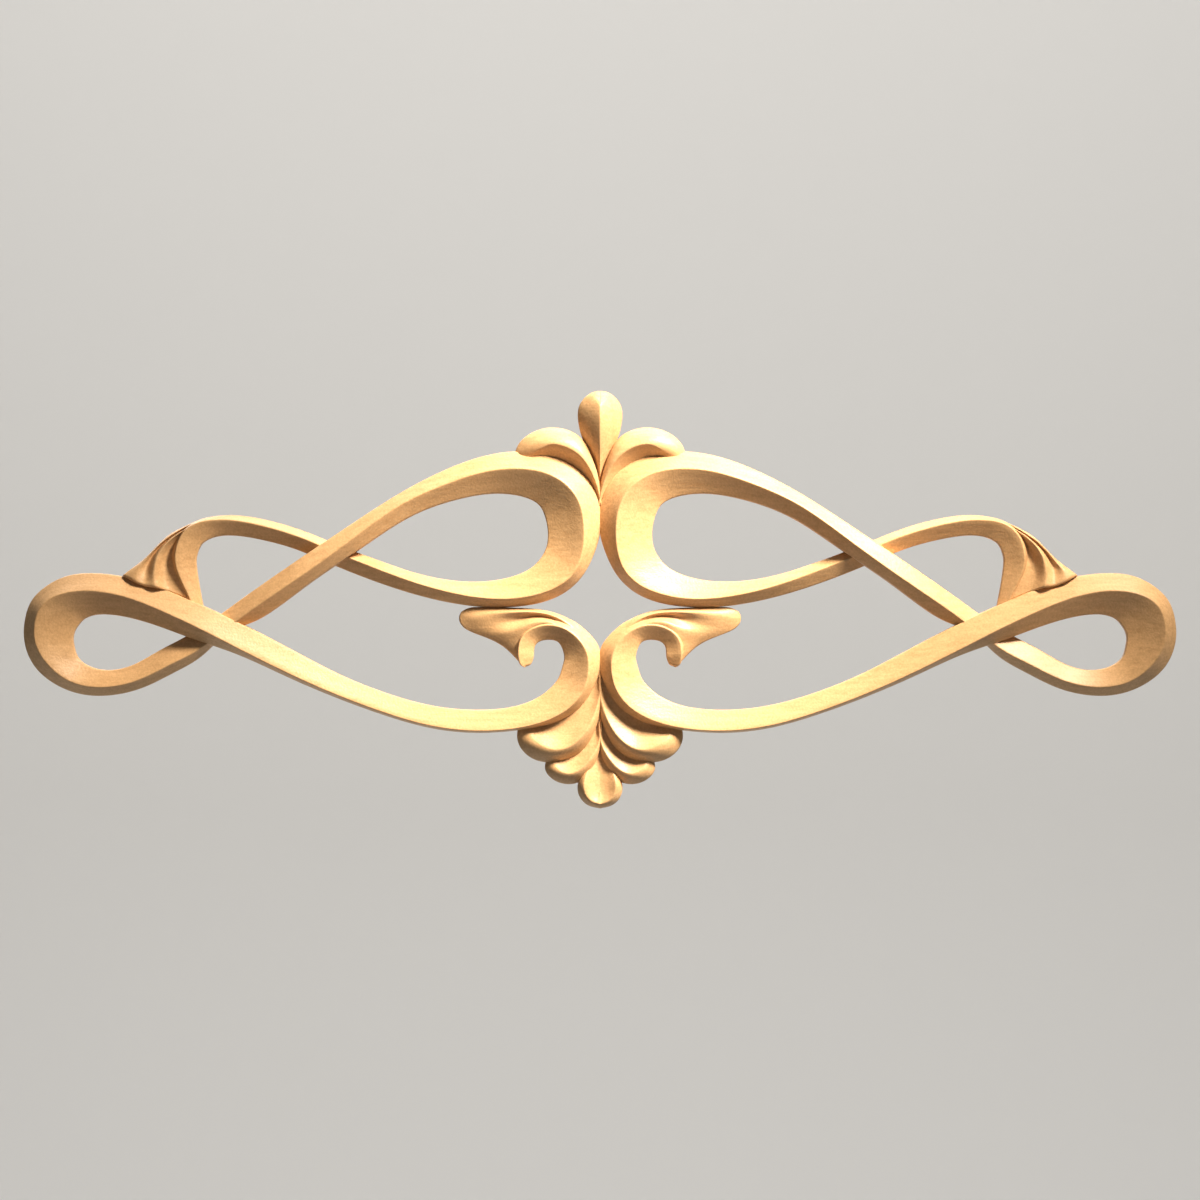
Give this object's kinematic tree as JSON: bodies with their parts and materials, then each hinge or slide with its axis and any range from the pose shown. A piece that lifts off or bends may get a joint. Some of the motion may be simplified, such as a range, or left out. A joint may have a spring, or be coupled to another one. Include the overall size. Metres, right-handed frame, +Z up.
{
  "type": "scroll onlay",
  "caption": "Pierced carved wood onlay: interlaced ridged ribbon scrolls, a crown and a leafy pendant, flat-backed to fix on a door or panel.",
  "frame": {"origin": "on the flat back, behind the place where the two tear-shaped loops meet on the centre line", "axes": "+X along the length to the viewer's right, +Z up towards the crown, +Y out of the back; the carved front faces -Y"},
  "size_m": [0.4998, 0.0135, 0.1812],
  "materials": {
    "wood": "satin, finely sanded carved wood, honey tan"
  },
  "bodies": {
    "root": {"scroll_onlay": "wood"}
  },
  "joints": []
}
